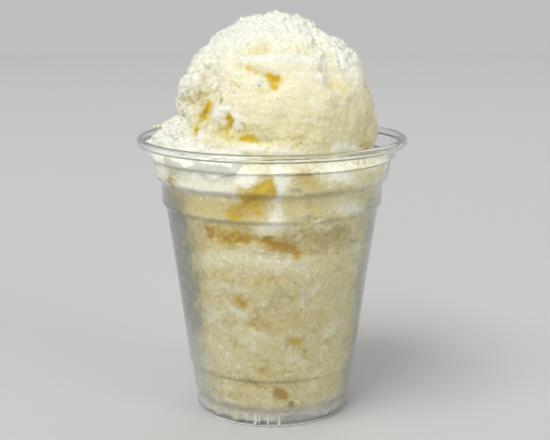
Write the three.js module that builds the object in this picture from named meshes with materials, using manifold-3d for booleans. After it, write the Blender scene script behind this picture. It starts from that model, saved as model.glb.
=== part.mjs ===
// Coconut ice cream packed in scoops into a clear formed cup, with a tall scoop standing on top.
//
// Millimetres, +Z up. The origin is the centre of the cup's foot, where it stands, and the side
// with the open clefts looks along -Y. An azimuth is measured from +X towards +Y, so the front is
// at -90 degrees and the left at 180.

import * as THREE from 'three';
import Module from 'manifold-3d';
import { mergeVertices } from 'three/addons/utils/BufferGeometryUtils.js';
import { ImprovedNoise } from 'three/addons/math/ImprovedNoise.js';

const wasm = await Module();
wasm.setup();

// ---------------------------------------------------------------- driving dimensions

const CUP_HEIGHT = 102;          // foot to the top of the rolled rim
const RIM_RADIUS = 49;           // outside of the rolled rim
const SHEET = 0.5;               // thickness of the formed sheet
const CUP_SIDES = 36;            // facets round the cup

const FLOOR_HEIGHT = 1.5;        // middle of the sheet in the raised floor
const FLOOR_RADIUS = 24.2;
const FOOT_INNER = 25.4;         // the flat ring that the cup stands on
const FOOT_OUTER = 27.5;
const FOOT_BULGE = { radius: 28.25, low: 1.0, high: 2.6 };
const FOOT_GROOVE = { radius: 27.75, height: 5.6 };
const LOW_STEP = { under: 30.15, over: 30.95, low: 17.4, high: 19 };
const BODY_MIDDLE = { radius: 35.1, height: 52 };
const STACKING_LEDGE = { under: 38.6, over: 39.95, low: 76.5, high: 78.5 };
const NECK_GROOVE = { under: 40.25, over: 40.9, low: 85.5, high: 86.9 };
const NECK_BULGE = { radius: 42.95, low: 89.5, high: 92.2 };
const NECK_LEDGE = { under: 43.1, over: 44.2, low: 93.8, high: 95.2 };
const LIP_CURL = 1.25;           // radius of the roll, to the middle of the sheet
const LIP_STEPS = 6;             // facets of the roll
const LIP_END = -90;             // degrees: where the rolled edge stops under the rim

const CLEAR = 0.3;               // free space between the ice cream and the cup
const PRESS = 0.35;              // free space between a scoop and the one pressed into it

const DOME_TOP = 145.4;          // height of the tall scoop before its crags
const OPEN_SHOULDER = 94.2;      // height of the packed ice cream where the neck stays open
const DOME_SHIFT = 1.3;          // the tall scoop leans this far towards +X
const SEAM_HEIGHT = 67.6;        // where the middle portion lies on the lower one
const CONTENT_FLOOR = FLOOR_HEIGHT + SHEET / 2 + CLEAR;

const CREAM = { color: '#e6ddbb', roughness: 0.62, metalness: 0 };
const WHITE_CREAM = { color: '#f0efdf', roughness: 0.6, metalness: 0 };
const CLEAR_PLASTIC = {
  color: '#dfe3e4', roughness: 0.06, metalness: 0, transparent: true, opacity: 0.25,
};

const at = (x, y, z) => new THREE.Vector3(x, y, z);
const radians = THREE.MathUtils.degToRad;
const { smoothstep } = THREE.MathUtils;

// ---------------------------------------------------------------- the cup

// Middle line of the sheet, from the axis out through the floor, up the wall and round the lip.
function cupLine() {
  const line = [
    [0, FLOOR_HEIGHT],
    [FLOOR_RADIUS, FLOOR_HEIGHT],
    [FOOT_INNER, SHEET / 2],
    [FOOT_OUTER, SHEET / 2],
    [FOOT_BULGE.radius, FOOT_BULGE.low],
    [FOOT_BULGE.radius, FOOT_BULGE.high],
    [FOOT_GROOVE.radius, FOOT_GROOVE.height],
    [FOOT_BULGE.radius + 0.8, FOOT_GROOVE.height + 2.4],
    [LOW_STEP.under, LOW_STEP.low],
    [LOW_STEP.over, LOW_STEP.high],
    [BODY_MIDDLE.radius, BODY_MIDDLE.height],
    [STACKING_LEDGE.under, STACKING_LEDGE.low],
    [STACKING_LEDGE.over, STACKING_LEDGE.high],
    [NECK_GROOVE.under, NECK_GROOVE.low],
    [NECK_GROOVE.over, NECK_GROOVE.high],
    [NECK_BULGE.radius - 0.6, NECK_BULGE.low],
    [NECK_BULGE.radius, NECK_BULGE.high],
    [NECK_LEDGE.under, NECK_LEDGE.low],
    [NECK_LEDGE.over, NECK_LEDGE.high],
  ];
  const lip = LIP_CURL + SHEET / 2;
  const centre = [RIM_RADIUS - lip, CUP_HEIGHT - lip];
  line.push([centre[0] - LIP_CURL - 0.35, centre[1] - lip - 0.2]);
  for (let step = 0; step <= LIP_STEPS; step += 1) {
    const turn = radians(THREE.MathUtils.lerp(180, LIP_END, step / LIP_STEPS));
    line.push([centre[0] + LIP_CURL * Math.cos(turn), centre[1] + LIP_CURL * Math.sin(turn)]);
  }
  return line.map(([radius, height]) => new THREE.Vector2(radius, height));
}

// The line moved sideways by a distance, with mitred corners; +1 is the outer side, -1 the inner.
function besideLine(line, distance) {
  return line.map((point, i) => {
    const before = line[Math.max(i - 1, 0)];
    const after = line[Math.min(i + 1, line.length - 1)];
    const into = point.clone().sub(before).normalize();
    const out = after.clone().sub(point).normalize();
    if (i === 0) into.copy(out);
    if (i === line.length - 1) out.copy(into);
    const along = into.clone().add(out).normalize();
    const mitre = Math.max(0.6, Math.sqrt((1 + into.dot(out)) / 2));
    const side = new THREE.Vector2(along.y, -along.x).multiplyScalar(distance / mitre);
    return point.clone().add(side);
  });
}

const CUP_LINE = cupLine();

// A lathed geometry that turns about Z, from [radius, height] points that go up its outer side.
function turned(points, sides) {
  return new THREE.LatheGeometry(points, sides).rotateX(Math.PI / 2);
}

function cupGeometry() {
  const outside = besideLine(CUP_LINE, SHEET / 2);
  const inside = besideLine(CUP_LINE, -SHEET / 2);
  outside[0].x = 0;
  inside[0].x = 0;
  return turned([...outside, ...inside.reverse()], CUP_SIDES);
}

// Radius that the contents may reach at a height, over a facet's length above and below it.
function roomAt(height) {
  const reach = 1.8;
  const wall = CUP_LINE.slice(4, -LIP_STEPS - 1);
  let least = Infinity;
  for (let h = height - reach; h <= height + reach; h += reach / 3) {
    const top = wall.findIndex((point) => point.y > h);
    const high = wall[top < 1 ? (top === 0 ? 1 : wall.length - 1) : top];
    const low = wall[wall.indexOf(high) - 1];
    const share = THREE.MathUtils.clamp((h - low.y) / (high.y - low.y), 0, 1);
    least = Math.min(least, THREE.MathUtils.lerp(low.x, high.x, share));
  }
  return least * Math.cos(Math.PI / CUP_SIDES) - SHEET / 2 - CLEAR;
}

// ---------------------------------------------------------------- lumps of ice cream

const NEARLY_NONE = 1e-6;
const perlin = new ImprovedNoise();

// Uneven relief: soft swells with smaller crags on them. Sizes are the distance from one swell or
// crag to the next, heights are how far they stand out, and place picks each lump's own pattern.
function crags(p, { swell, swellSize, crag, cragSize, place }) {
  const soft = perlin.noise(p.x / swellSize + place, p.y / swellSize, p.z / swellSize);
  const rough = perlin.noise(p.x / cragSize, p.y / cragSize + place, p.z / cragSize);
  return swell * soft + crag * rough;
}

// A ridge along a row of places on the surface, or a cleft where its height is negative.
function streak(p, { places, width, height }) {
  const nearest = at(0, 0, 0);
  let distance = p.distanceTo(places[0]);
  for (let i = 1; i < places.length; i += 1) {
    new THREE.Line3(places[i - 1], places[i]).closestPointToPoint(p, true, nearest);
    distance = Math.min(distance, p.distanceTo(nearest));
  }
  return height * Math.exp(-((distance / width) ** 2));
}

function streaks(p, marks) {
  return marks.reduce((sum, mark) => sum + streak(p, mark), 0);
}

// A closed surface with its shared vertices joined, and nothing kept but their positions.
function joined(geometry) {
  geometry.deleteAttribute('normal');
  geometry.deleteAttribute('uv');
  return mergeVertices(geometry);
}

// Closed lump: a ball whose poles follow an outline of [radius, height] from top to bottom.
// relief moves each point outwards, and limit holds it inside the cup.
function lump({ outline, detail, relief, limit, shift = 0, grow = 0 }) {
  const geometry = joined(new THREE.IcosahedronGeometry(1, detail));
  const corners = outline.map(([radius, height]) => new THREE.Vector2(radius, height));
  const curve = new THREE.SplineCurve(corners);
  const positions = geometry.attributes.position;
  for (let i = 0; i < positions.count; i += 1) {
    const way = at(0, 0, 0).fromBufferAttribute(positions, i).normalize();
    const share = Math.acos(THREE.MathUtils.clamp(way.z, -1, 1)) / Math.PI;
    const turn = Math.atan2(way.y, way.x);
    const spot = curve.getPointAt(share);
    const slope = curve.getTangentAt(share);
    const place = at(spot.x * Math.cos(turn) + shift, spot.x * Math.sin(turn), spot.y);
    const push = relief(place) + grow;
    let radius = Math.max(0, spot.x - slope.y * push);
    const height = spot.y + slope.x * push;
    if (limit) radius = Math.min(radius, limit(turn, height) + grow);
    if (Math.hypot(way.x, way.y) < NEARLY_NONE) radius = 0;
    positions.setXYZ(i, radius * Math.cos(turn) + shift, radius * Math.sin(turn), height);
  }
  return geometry;
}

function solid(geometry) {
  const vertProperties = new Float32Array(geometry.attributes.position.array);
  const triVerts = new Uint32Array(geometry.index.array);
  return new wasm.Manifold(new wasm.Mesh({ numProp: 3, vertProperties, triVerts }));
}

// Geometry of the largest piece of a cut solid, without its loose scraps.
function largest(cut) {
  const pieces = cut.decompose().sort((a, b) => b.volume() - a.volume());
  const { vertProperties, triVerts } = pieces[0].getMesh();
  const geometry = new THREE.BufferGeometry();
  geometry.setAttribute('position', new THREE.BufferAttribute(new Float32Array(vertProperties), 3));
  geometry.setIndex(new THREE.BufferAttribute(new Uint32Array(triVerts), 1));
  return geometry;
}

// ---------------------------------------------------------------- the tall scoop on top

const TOP_CRAGS = { swell: 1.5, swellSize: 17, crag: 1.3, cragSize: 6.5, place: 75.48 };

// The gash, the left cleft, the lower cleft, the right shoulder with the edge and the notch beside
// it, the left lobe with the hollow under it, and then the cleft and the lobe at the back.
const TOP_MARKS = [
  { places: [at(-8, -30.5, 128.2), at(1, -33.3, 124.9), at(-2.6, -34.5, 121.5)], width: 2.6, height: -4.2 },
  { places: [at(-23, -21.5, 126.4), at(-22.2, -26.2, 120), at(-24.5, -27, 109)], width: 3.2, height: -6 },
  { places: [at(-16, -33.6, 108.6), at(-8.9, -36.6, 106.4), at(-2, -38, 104.6)], width: 2.6, height: -3.4 },
  { places: [at(25, -12, 131), at(28, -19, 123)], width: 5, height: 0.9 },
  { places: [at(13, -8, 141), at(19, -20, 133), at(21, -27, 124)], width: 2.8, height: -1.8 },
  { places: [at(17, 4, 139.5), at(18.5, -4, 138.5)], width: 3.4, height: -1.3 },
  { places: [at(-30, -10, 121), at(-32.5, -11, 116.5)], width: 4, height: 1.3 },
  { places: [at(-36, 4, 107), at(-33, -14, 108), at(-31, -19, 107)], width: 4.5, height: -3.6 },
  { places: [at(8, 27, 131), at(15, 30, 122), at(12, 34, 112)], width: 3, height: -3.2 },
  { places: [at(-12, 28, 127), at(-19, 29, 116)], width: 6, height: 1.6 },
];

// Radius of the scoop at each depth below its top.
const TOP_SHAPE = [
  [0, 0], [8.6, 1.7], [16.4, 5.4], [23.4, 10.4], [28.6, 15.8], [32.2, 22], [34.9, 29],
  [36.9, 37], [37.6, 43], [35.6, 47], [29, 48.6], [15, 49], [0, 49],
];

function topScoop(grow) {
  const outline = TOP_SHAPE.map(([radius, depth]) => [radius, DOME_TOP - depth]);
  const relief = (p) => crags(p, TOP_CRAGS) + streaks(p, TOP_MARKS);
  return solid(lump({ outline, detail: 11, relief, shift: DOME_SHIFT, grow }));
}

// ---------------------------------------------------------------- crumbled chunk at the left rim

const CHUNK_CRAGS = { swell: 1.2, swellSize: 7, crag: 1.4, cragSize: 4 };
const UNDER_RIM = NECK_LEDGE.high + 2.6;

// Lumps that lean on each other round the inside of the rim: the azimuth, radius and height of
// each one's centre, and how far it reaches across the gap, along the rim and upwards.
const CHUNK_LUMPS = [
  { azimuth: 174, reach: 34, height: 98.5, size: [7.6, 9, 7.6] },
  { azimuth: 197, reach: 32.5, height: 99.6, size: [9.3, 11, 10.6] },
  { azimuth: 221, reach: 34, height: 98.4, size: [8.2, 10, 9.2] },
  { azimuth: 243, reach: 36.2, height: 97.6, size: [6.4, 9.5, 7] },
];

function chunkLump({ azimuth, reach, height, size }, grow) {
  const [across, along, tall] = size;
  const turn = radians(azimuth);
  const centre = at(reach * Math.cos(turn), reach * Math.sin(turn), height);
  const geometry = joined(new THREE.IcosahedronGeometry(1, 2));
  geometry.scale(across + grow, along + grow, tall + grow);
  geometry.rotateZ(turn);
  geometry.translate(centre.x, centre.y, centre.z);
  const positions = geometry.attributes.position;
  for (let i = 0; i < positions.count; i += 1) {
    const p = at(0, 0, 0).fromBufferAttribute(positions, i);
    const push = crags(p, { ...CHUNK_CRAGS, place: azimuth });
    p.addScaledVector(p.clone().sub(centre).normalize(), push);
    const most = roomAt(Math.min(p.z, UNDER_RIM)) + grow;
    const pull = Math.min(1, most / Math.hypot(p.x, p.y));
    positions.setXYZ(i, p.x * pull, p.y * pull, p.z);
  }
  return solid(geometry);
}

function sideChunk(grow) {
  return CHUNK_LUMPS.map((one) => chunkLump(one, grow)).reduce((all, one) => all.add(one));
}

// ---------------------------------------------------------------- packed portions in the cup

// 1 at an azimuth in degrees, falling to 0 at a number of degrees on either side.
function facing(turn, azimuth, spread) {
  const past = THREE.MathUtils.euclideanModulo(turn - radians(azimuth) + Math.PI, 2 * Math.PI);
  return 1 - smoothstep(Math.abs(past - Math.PI), 0, radians(spread));
}

const MIDDLE_CRAGS = { swell: 1.5, swellSize: 16, crag: 1.2, cragSize: 6, place: 12.4 };
const SEAM_CLEFT = [
  at(-21, -31, 68.5), at(-7, -37.3, 71), at(6, -37, 69), at(18, -32.5, 67), at(24, -29, 67.5),
];

// The deep hole, the cleft that slants down from it, the hollow under the block at its left, and
// the cleft along the seam.
const MIDDLE_MARKS = [
  { places: [at(-2.3, -41, 90.6), at(-7, -40.5, 89.4)], width: 3.2, height: -6.5 },
  { places: [at(-9, -39, 88), at(-9, -39, 84), at(-12, -38, 80), at(-18, -34, 71)], width: 3, height: -5 },
  { places: [at(-29, -26, 81), at(-20, -33.5, 81.5)], width: 3.4, height: -3.5 },
  { places: SEAM_CLEFT, width: 3, height: -3 },
];

// Air between the wall and the middle portion: wide at the left, narrower at the right, and a
// hollow under the block that leans on the front of the neck.
function middleLimit(turn, height) {
  const below = 1 - smoothstep(height, 84, 91);
  const left = 5 * facing(turn, 182, 48) * below;
  const right = 3.4 * facing(turn, -4, 44) * (0.35 + 0.65 * below);
  const front = 2.2 * facing(turn, -118, 34) * (1 - smoothstep(height, 80, 85));
  const back = 1.6 * facing(turn, 90, 60);
  return roomAt(height) - left - right - front - back;
}

// The top of the middle portion lies lower at the back and right, where the neck stays open.
function shoulderDrop(turn, height) {
  const open = Math.max(facing(turn, 80, 75), facing(turn, 10, 60));
  return Math.max(0, height - OPEN_SHOULDER) * 0.85 * open;
}

const MIDDLE_OUTLINE = [
  [0, 98.6], [20, 98.6], [34, 98.4], [40.5, 97.6], [43.4, 95], [43.6, 91], [42.5, 87], [41, 81], [39.6, 74],
  [37.6, 69.5], [33, SEAM_HEIGHT - 0.6], [18, SEAM_HEIGHT - 1.2], [0, SEAM_HEIGHT - 1.2],
];

function middlePortion(grow) {
  const relief = (p) => crags(p, MIDDLE_CRAGS) + streaks(p, MIDDLE_MARKS);
  const body = lump({ outline: MIDDLE_OUTLINE, detail: 9, relief, limit: middleLimit, grow });
  const positions = body.attributes.position;
  for (let i = 0; i < positions.count; i += 1) {
    const turn = Math.atan2(positions.getY(i), positions.getX(i));
    const height = positions.getZ(i);
    positions.setZ(i, height - shoulderDrop(turn, height));
  }
  return solid(body);
}

const LOWER_CRAGS = { swell: 1.3, swellSize: 17, crag: 1, cragSize: 5.5, place: 21.9 };
const PIT = { width: 2.6, height: -2 };

// The cleft along the seam, the gap at the front of the floor, and small open pits.
const LOWER_MARKS = [
  { places: SEAM_CLEFT, width: 3, height: -2.5 },
  { places: [at(4.5, -25.5, 3.2), at(11, -23.5, 3.6)], width: 3.4, height: -4 },
  { places: [at(-13.8, -31.5, 49.4)], ...PIT },
  { places: [at(7.3, -31.5, 33.8)], ...PIT },
  { places: [at(-3.5, -30.8, 23.2)], ...PIT },
  { places: [at(4.5, -28.6, 12.4)], ...PIT },
  { places: [at(-12.5, -31, 41.6)], ...PIT },
  { places: [at(20, 27, 44)], ...PIT },
  { places: [at(-16, 30, 55)], ...PIT },
];

// Air between the wall and the lower portion, which touches all round towards the floor.
function lowerLimit(turn, height) {
  const left = 6 * facing(turn, 180, 50) * smoothstep(height, 18, 34);
  const right = 4 * facing(turn, -2, 40) * smoothstep(height, 26, 44);
  const back = 1.4 * facing(turn, 95, 50) * smoothstep(height, 30, 46);
  const corner = 0.1 * Math.max(0, 5 - height) ** 1.6;
  return roomAt(height) - left - right - back - corner;
}

const LOWER_OUTLINE = [
  [0, SEAM_HEIGHT + 2.6], [16, SEAM_HEIGHT + 3], [29, SEAM_HEIGHT + 2], [35.4, SEAM_HEIGHT - 1.6],
  [37.3, 61], [36.6, 50], [35, 38], [33.2, 26], [31.6, 15], [30.2, 6.5],
  [28.4, CONTENT_FLOOR + 0.8], [23, CONTENT_FLOOR + 0.5], [12, CONTENT_FLOOR + 0.5], [0, CONTENT_FLOOR + 0.5],
];

function lowerPortion() {
  const relief = (p) => crags(p, LOWER_CRAGS) + streaks(p, LOWER_MARKS);
  const body = lump({ outline: LOWER_OUTLINE, detail: 9, relief, limit: lowerLimit });
  const positions = body.attributes.position;
  for (let i = 0; i < positions.count; i += 1) {
    positions.setZ(i, Math.max(positions.getZ(i), CONTENT_FLOOR));
  }
  return solid(body);
}

// ---------------------------------------------------------------- the assembled part

function named(name, geometry, finish) {
  const mesh = new THREE.Mesh(geometry, new THREE.MeshStandardMaterial(finish));
  mesh.name = name;
  return mesh;
}

const cup = named('cup', cupGeometry(), CLEAR_PLASTIC);

const top = named('top_scoop', largest(topScoop(0)), CREAM);

const chunk = named('side_chunk', largest(sideChunk(0).subtract(topScoop(PRESS))), WHITE_CREAM);

const middle = named(
  'middle_scoop',
  largest(middlePortion(0).subtract(topScoop(PRESS)).subtract(sideChunk(PRESS))),
  CREAM,
);

const lower = named('lower_scoop', largest(lowerPortion().subtract(middlePortion(PRESS))), CREAM);

const iceCreamCup = new THREE.Group();
iceCreamCup.name = 'ice_cream_cup';
iceCreamCup.add(cup, lower, middle, chunk, top);

export default iceCreamCup;
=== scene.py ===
import itertools
import math

import bpy
import numpy as np
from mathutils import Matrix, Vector


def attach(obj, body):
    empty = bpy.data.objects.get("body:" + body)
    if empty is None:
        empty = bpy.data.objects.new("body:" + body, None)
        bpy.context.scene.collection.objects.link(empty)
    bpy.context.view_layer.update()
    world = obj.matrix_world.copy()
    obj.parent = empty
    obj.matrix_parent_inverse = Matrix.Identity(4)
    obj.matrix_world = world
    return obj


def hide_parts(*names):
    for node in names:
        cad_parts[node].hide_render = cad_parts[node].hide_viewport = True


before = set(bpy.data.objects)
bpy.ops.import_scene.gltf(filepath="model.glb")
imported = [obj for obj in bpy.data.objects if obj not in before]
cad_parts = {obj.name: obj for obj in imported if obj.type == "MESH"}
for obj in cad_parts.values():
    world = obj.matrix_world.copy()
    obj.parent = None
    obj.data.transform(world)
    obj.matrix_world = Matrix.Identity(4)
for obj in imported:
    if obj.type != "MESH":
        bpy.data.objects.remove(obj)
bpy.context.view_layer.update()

MM = 0.001  # every size below is in millimetres, and goes to metres where a mesh is made


# ---------------------------------------------------------------- the studio
# The cup stands alone on a plain pale floor, seen from just above its rim. One large soft lamp
# hangs at the upper left, a bright strip above the front, with weak ones at the right and the back,
# in a pale room that is darker in front.

CAMERA_OUT = 395.8       # from the cup's axis
CAMERA_UP = 157.1
CAMERA_ASIDE = 1.08      # the cup stands a little left of the middle of the view
CAMERA_TILT = 12.38      # degrees below the horizon
LENS_PER_WIDTH = 1096.4 / 550
SENSOR = 36.0

ROOM_BEHIND = 0.517      # brightness of the room's walls
ROOM_IN_FRONT = 0.22
FLOOR_GREY = (0.58, 0.58, 0.575, 1.0)
FLOOR_SIDE, FLOOR_BACK = 12000, 2000     # how far the floor reaches from the cup
# name, where it hangs, what it points at, its sides, its power
LAMPS = (
    ("key", (-1900, -2200, 4300), (0, 0, 95), (2900, 2400), 154),
    ("front", (-1600, -4800, 1400), (0, 0, 80), (3400, 1400), 63),
    ("fill", (3840, -3040, 1920), (0, 0, 80), (2600, 2600), 60),
    ("back", (960, 3680, 3040), (0, 0, 90), (3400, 2400), 30),
)


def set_camera():
    lens = bpy.data.cameras.new("camera")
    lens.sensor_width = SENSOR
    lens.lens = LENS_PER_WIDTH * SENSOR
    lens.clip_start = 0.01
    lens.clip_end = 100
    camera = bpy.data.objects.new("camera", lens)
    camera.location = (CAMERA_ASIDE * MM, -CAMERA_OUT * MM, CAMERA_UP * MM)
    camera.rotation_euler = (math.radians(90 - CAMERA_TILT), 0, 0)
    bpy.context.scene.collection.objects.link(camera)
    bpy.context.scene.camera = camera


def hang_lamp(name, place, aim, sides, power):
    light = bpy.data.lights.new(name, "AREA")
    light.shape = "RECTANGLE"
    light.size, light.size_y = sides[0] * MM, sides[1] * MM
    light.energy = power
    lamp = bpy.data.objects.new(name, light)
    lamp.location = Vector(place) * MM
    lamp.rotation_euler = (Vector(place) - Vector(aim)).to_track_quat("Z", "Y").to_euler()
    bpy.context.scene.collection.objects.link(lamp)


def set_node(tree, node, **values):
    """Sets a shader node. Where a name is one of its sockets, the value goes there, or the output of
    another node is joined to it."""
    for name, value in values.items():
        label = name.replace("_", " ")
        if label not in node.inputs:
            setattr(node, name, value)
        elif isinstance(value, bpy.types.NodeSocket):
            tree.links.new(value, node.inputs[label])
        else:
            node.inputs[label].default_value = value
    return node


def add_node(tree, kind, **values):
    return set_node(tree, tree.nodes.new("ShaderNode" + kind), **values)


def rescale(tree, value, bounds, to=(0.0, 1.0)):
    """A value between two bounds, stretched to lie between two others."""
    node = add_node(tree, "MapRange", Value=value, From_Min=bounds[0], From_Max=bounds[1],
                    To_Min=to[0], To_Max=to[1])
    return node.outputs["Result"]


def new_material(name):
    """A material, its nodes and its main shader."""
    material = bpy.data.materials.new(name)
    material.use_nodes = True
    return material, material.node_tree, material.node_tree.nodes["Principled BSDF"]


def light_room():
    world = bpy.data.worlds.new("room")
    world.use_nodes = True
    tree = world.node_tree
    way = add_node(tree, "TexCoord").outputs["Generated"]
    ahead = add_node(tree, "SeparateXYZ", Vector=way).outputs["Y"]
    grey = rescale(tree, ahead, (-0.7, 0.5), (ROOM_IN_FRONT, ROOM_BEHIND))
    set_node(tree, tree.nodes["Background"], Color=grey)
    bpy.context.scene.world = world
    bpy.context.scene.view_settings.view_transform = "Standard"


def lay_floor():
    side, back = FLOOR_SIDE * MM, FLOOR_BACK * MM
    mesh = bpy.data.meshes.new("floor")
    corners = [(-side, -side, 0), (side, -side, 0), (side, back, 0), (-side, back, 0)]
    mesh.from_pydata(corners, [], [(0, 1, 2, 3)])
    floor = bpy.data.objects.new("floor", mesh)
    bpy.context.scene.collection.objects.link(floor)
    paint, tree, shader = new_material("floor_paint")
    set_node(tree, shader, Base_Color=FLOOR_GREY, Roughness=0.75)
    mesh.materials.append(paint)


set_camera()
light_room()
lay_floor()
for lamp in LAMPS:
    hang_lamp(*lamp)


# ---------------------------------------------------------------- the clear cup
# A thin sheet of clear plastic, heated and drawn down over a mould: a raised floor inside a foot
# ring, a long taper with a ledge for stacking, a bulged neck, and a rim rolled over and down.

SHEET = 0.5              # thickness of the sheet
RIM_RADIUS = 49.0
CUP_HEIGHT = 102.0
LIP_CURL = 1.25          # radius of the roll, to the middle of the sheet
LIP_STEPS = 26
FOOT_INSIDE = 27.0       # radius inside which the sheet is the raised floor
CUP_SIDES = 192
CLEAR = (0.965, 0.975, 0.975, 1)
PAINTED_LEDGE_DARK = (0.50, 0.50, 0.45, 1)        # painted shade: the dark lines along the ledges and the rolled rim
SHINE_THROUGH = (0.95, 0.96, 0.96, 1)
# radius and height of each corner of the sheet's middle line, and the radius of its rounding
CUP_CORNERS = (
    (0.0, 1.5, 0.0),
    (24.2, 1.5, 1.0),
    (25.4, 0.25, 0.5),
    (27.5, 0.25, 0.6),
    (28.25, 1.0, 0.6),
    (28.25, 2.6, 1.0),
    (27.75, 5.6, 1.2),
    (29.05, 8.0, 1.5),
    (30.2, 17.8, 0.5),
    (30.9, 18.7, 0.6),
    (35.1, 52.0, 12.0),
    (38.65, 76.8, 0.6),
    (39.9, 78.1, 0.7),
    (40.2, 85.6, 0.6),
    (40.9, 86.8, 0.6),
    (42.15, 87.9, 0.8),
    (42.95, 92.2, 1.0),
    (43.15, 94.4, 0.2),
    (44.2, 95.0, 0.3),
    (45.9, 98.8, 1.2),
)


def rounded(corners, steps=5):
    """The line through the corners, each one replaced by a short curve that starts and ends beside it."""
    places = [np.array(c[:2]) for c in corners]
    line = [places[0]]
    for before, here, after, corner in zip(places, places[1:], places[2:], corners[1:]):
        reach = min(corner[2], np.linalg.norm(here - before) * 0.45, np.linalg.norm(after - here) * 0.45)
        start = here + (before - here) / np.linalg.norm(before - here) * reach
        end = here + (after - here) / np.linalg.norm(after - here) * reach
        for t in np.linspace(0, 1, steps):
            line.append((1 - t) ** 2 * start + 2 * t * (1 - t) * here + t ** 2 * end)
    line.append(places[-1])
    return line


def sheet_line():
    line = rounded(CUP_CORNERS)
    lip = LIP_CURL + SHEET / 2
    centre = np.array((RIM_RADIUS - lip, CUP_HEIGHT - lip))
    for turn in np.radians(np.linspace(180, -90, LIP_STEPS)):
        line.append(centre + LIP_CURL * np.array((math.cos(turn), math.sin(turn))))
    return np.array(line)


def beside(line, distance):
    """The line moved sideways, away from the cup's axis where the distance is positive."""
    along = np.gradient(line, axis=0)
    along /= np.linalg.norm(along, axis=1, keepdims=True)
    return line + np.stack((along[:, 1], -along[:, 0]), 1) * distance


SHEET_LINE = sheet_line()


def wall_inside(height):
    """Radius of the cup's inner face at a height."""
    wall = beside(SHEET_LINE, -SHEET / 2)
    climb = wall[np.argmax(wall[:, 0] > FOOT_INSIDE):-LIP_STEPS]
    return np.interp(height, np.maximum.accumulate(climb[:, 1]), climb[:, 0])


def turned(section, sides):
    """Points and faces of a line of (radius, height) points that starts and ends on the upright axis,
    turned about it."""
    turn = np.linspace(0, 2 * math.pi, sides, endpoint=False)
    points = [(r * math.cos(a), r * math.sin(a), z) for a in turn for r, z in section]
    count = len(section)
    faces = []
    for i in range(sides):
        here, there = i * count, (i + 1) % sides * count
        for j in range(count - 1):
            faces.append((here + j, there + j, there + j + 1, here + j + 1))
    return points, faces


def dim_places(line):
    """1 where the sheet gets painted shade, as dark lines: the ledge under the rim, and less at the other
    ledges and along the top and the bottom of the rolled rim."""
    along = np.gradient(line, axis=0)
    outwards = np.abs(along[:, 0]) / np.linalg.norm(along, axis=1)
    ledge = np.clip((outwards - 0.45) / 0.3, 0, 1) * (line[:, 1] > 8) * (line[:, 1] < 96)
    ledge = ledge * np.where(line[:, 1] > 90, 1.0, 0.2)
    lip = (line[:, 1] > 97) & (line[:, 0] > RIM_RADIUS - 2 * LIP_CURL - 1)
    return np.maximum(ledge, 0.8 * lip * np.clip((outwards - 0.65) / 0.25, 0, 1))


def new_piece(name, points, faces, material):
    mesh = bpy.data.meshes.new(name)
    mesh.from_pydata([tuple(c * MM for c in p) for p in points], [], faces)
    mesh.validate()
    mesh.shade_smooth()
    mesh.materials.append(material)
    piece = bpy.data.objects.new(name, mesh)
    bpy.context.scene.collection.objects.link(piece)
    return piece


def mark_points(piece, **marks):
    """Gives each point a value between 0 and 1 under a name that the material reads."""
    for name, values in marks.items():
        layer = piece.data.attributes.new(name, "FLOAT", "POINT")
        layer.data.foreach_set("value", np.clip(values, 0, 1).astype(np.float32))


def weld(piece):
    """Joins the points that lie on one spot at the middle of the floor."""
    piece.modifiers.new("weld", "WELD").merge_threshold = 0.004 * MM
    evaluated = piece.evaluated_get(bpy.context.evaluated_depsgraph_get())
    piece.data = bpy.data.meshes.new_from_object(evaluated)
    piece.modifiers.clear()


def mark(tree, name):
    return add_node(tree, "Attribute", attribute_name=name).outputs["Fac"]


def blend(tree, share, first, second, way="MIX"):
    """The first colour, turning into the second or multiplied by it as the share rises."""
    node = add_node(tree, "Mix", data_type="RGBA", blend_type=way, Factor=share, A=first, B=second)
    return node.outputs["Result"]


def shine_through(tree, surface, tint):
    """Makes a shader the material's surface, and lets the lamps shine through it, tinted."""
    path = add_node(tree, "LightPath")
    through = add_node(tree, "BsdfTransparent", Color=tint)
    either = add_node(tree, "MixShader", Fac=path.outputs["Is Shadow Ray"])
    tree.links.new(surface, either.inputs[1])
    tree.links.new(through.outputs["BSDF"], either.inputs[2])
    tree.links.new(either.outputs["Shader"], tree.nodes["Material Output"].inputs["Surface"])


def clear_plastic():
    """Clear sheet: glossy, with the faint ripples and rub marks of drawn plastic."""
    material, tree, shader = new_material("clear_plastic")
    place = add_node(tree, "TexCoord").outputs["Object"]
    upright = add_node(tree, "Mapping", Vector=place, Scale=(150, 150, 22)).outputs["Vector"]
    ripple = add_node(tree, "TexNoise", Vector=upright, Scale=1.0, Detail=2.0).outputs["Fac"]
    rubs = add_node(tree, "TexNoise", Vector=place, Scale=420.0, Detail=3.0).outputs["Fac"]
    bump = add_node(tree, "Bump", Height=ripple, Strength=0.12, Distance=0.0004)
    set_node(
        tree, shader,
        # Painted shade: dark lines along the ledges and the edges of the rolled rim.
        Base_Color=blend(tree, mark(tree, "dim"), CLEAR, PAINTED_LEDGE_DARK),
        Roughness=rescale(tree, rubs, (0.45, 0.75), (0.015, 0.09)),
        Normal=bump.outputs["Normal"],
        IOR=1.49, Transmission_Weight=1.0, Specular_IOR_Level=0.35,
    )
    shine_through(tree, shader.outputs["BSDF"], SHINE_THROUGH)
    return material


def make_cup():
    outside = beside(SHEET_LINE, SHEET / 2)
    inside = beside(SHEET_LINE, -SHEET / 2)
    outside[0, 0] = inside[0, 0] = 0.0
    points, faces = turned([tuple(p) for p in (*outside, *inside[::-1])], CUP_SIDES)
    cup = new_piece("cup_wall", points, faces, clear_plastic())
    # Painted shade along the ledges and the rolled rim.
    dark = dim_places(SHEET_LINE)
    mark_points(cup, dim=np.tile(np.concatenate((dark, dark[::-1])), CUP_SIDES))
    weld(cup)
    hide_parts("cup")
    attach(cup, "root")


make_cup()


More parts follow.
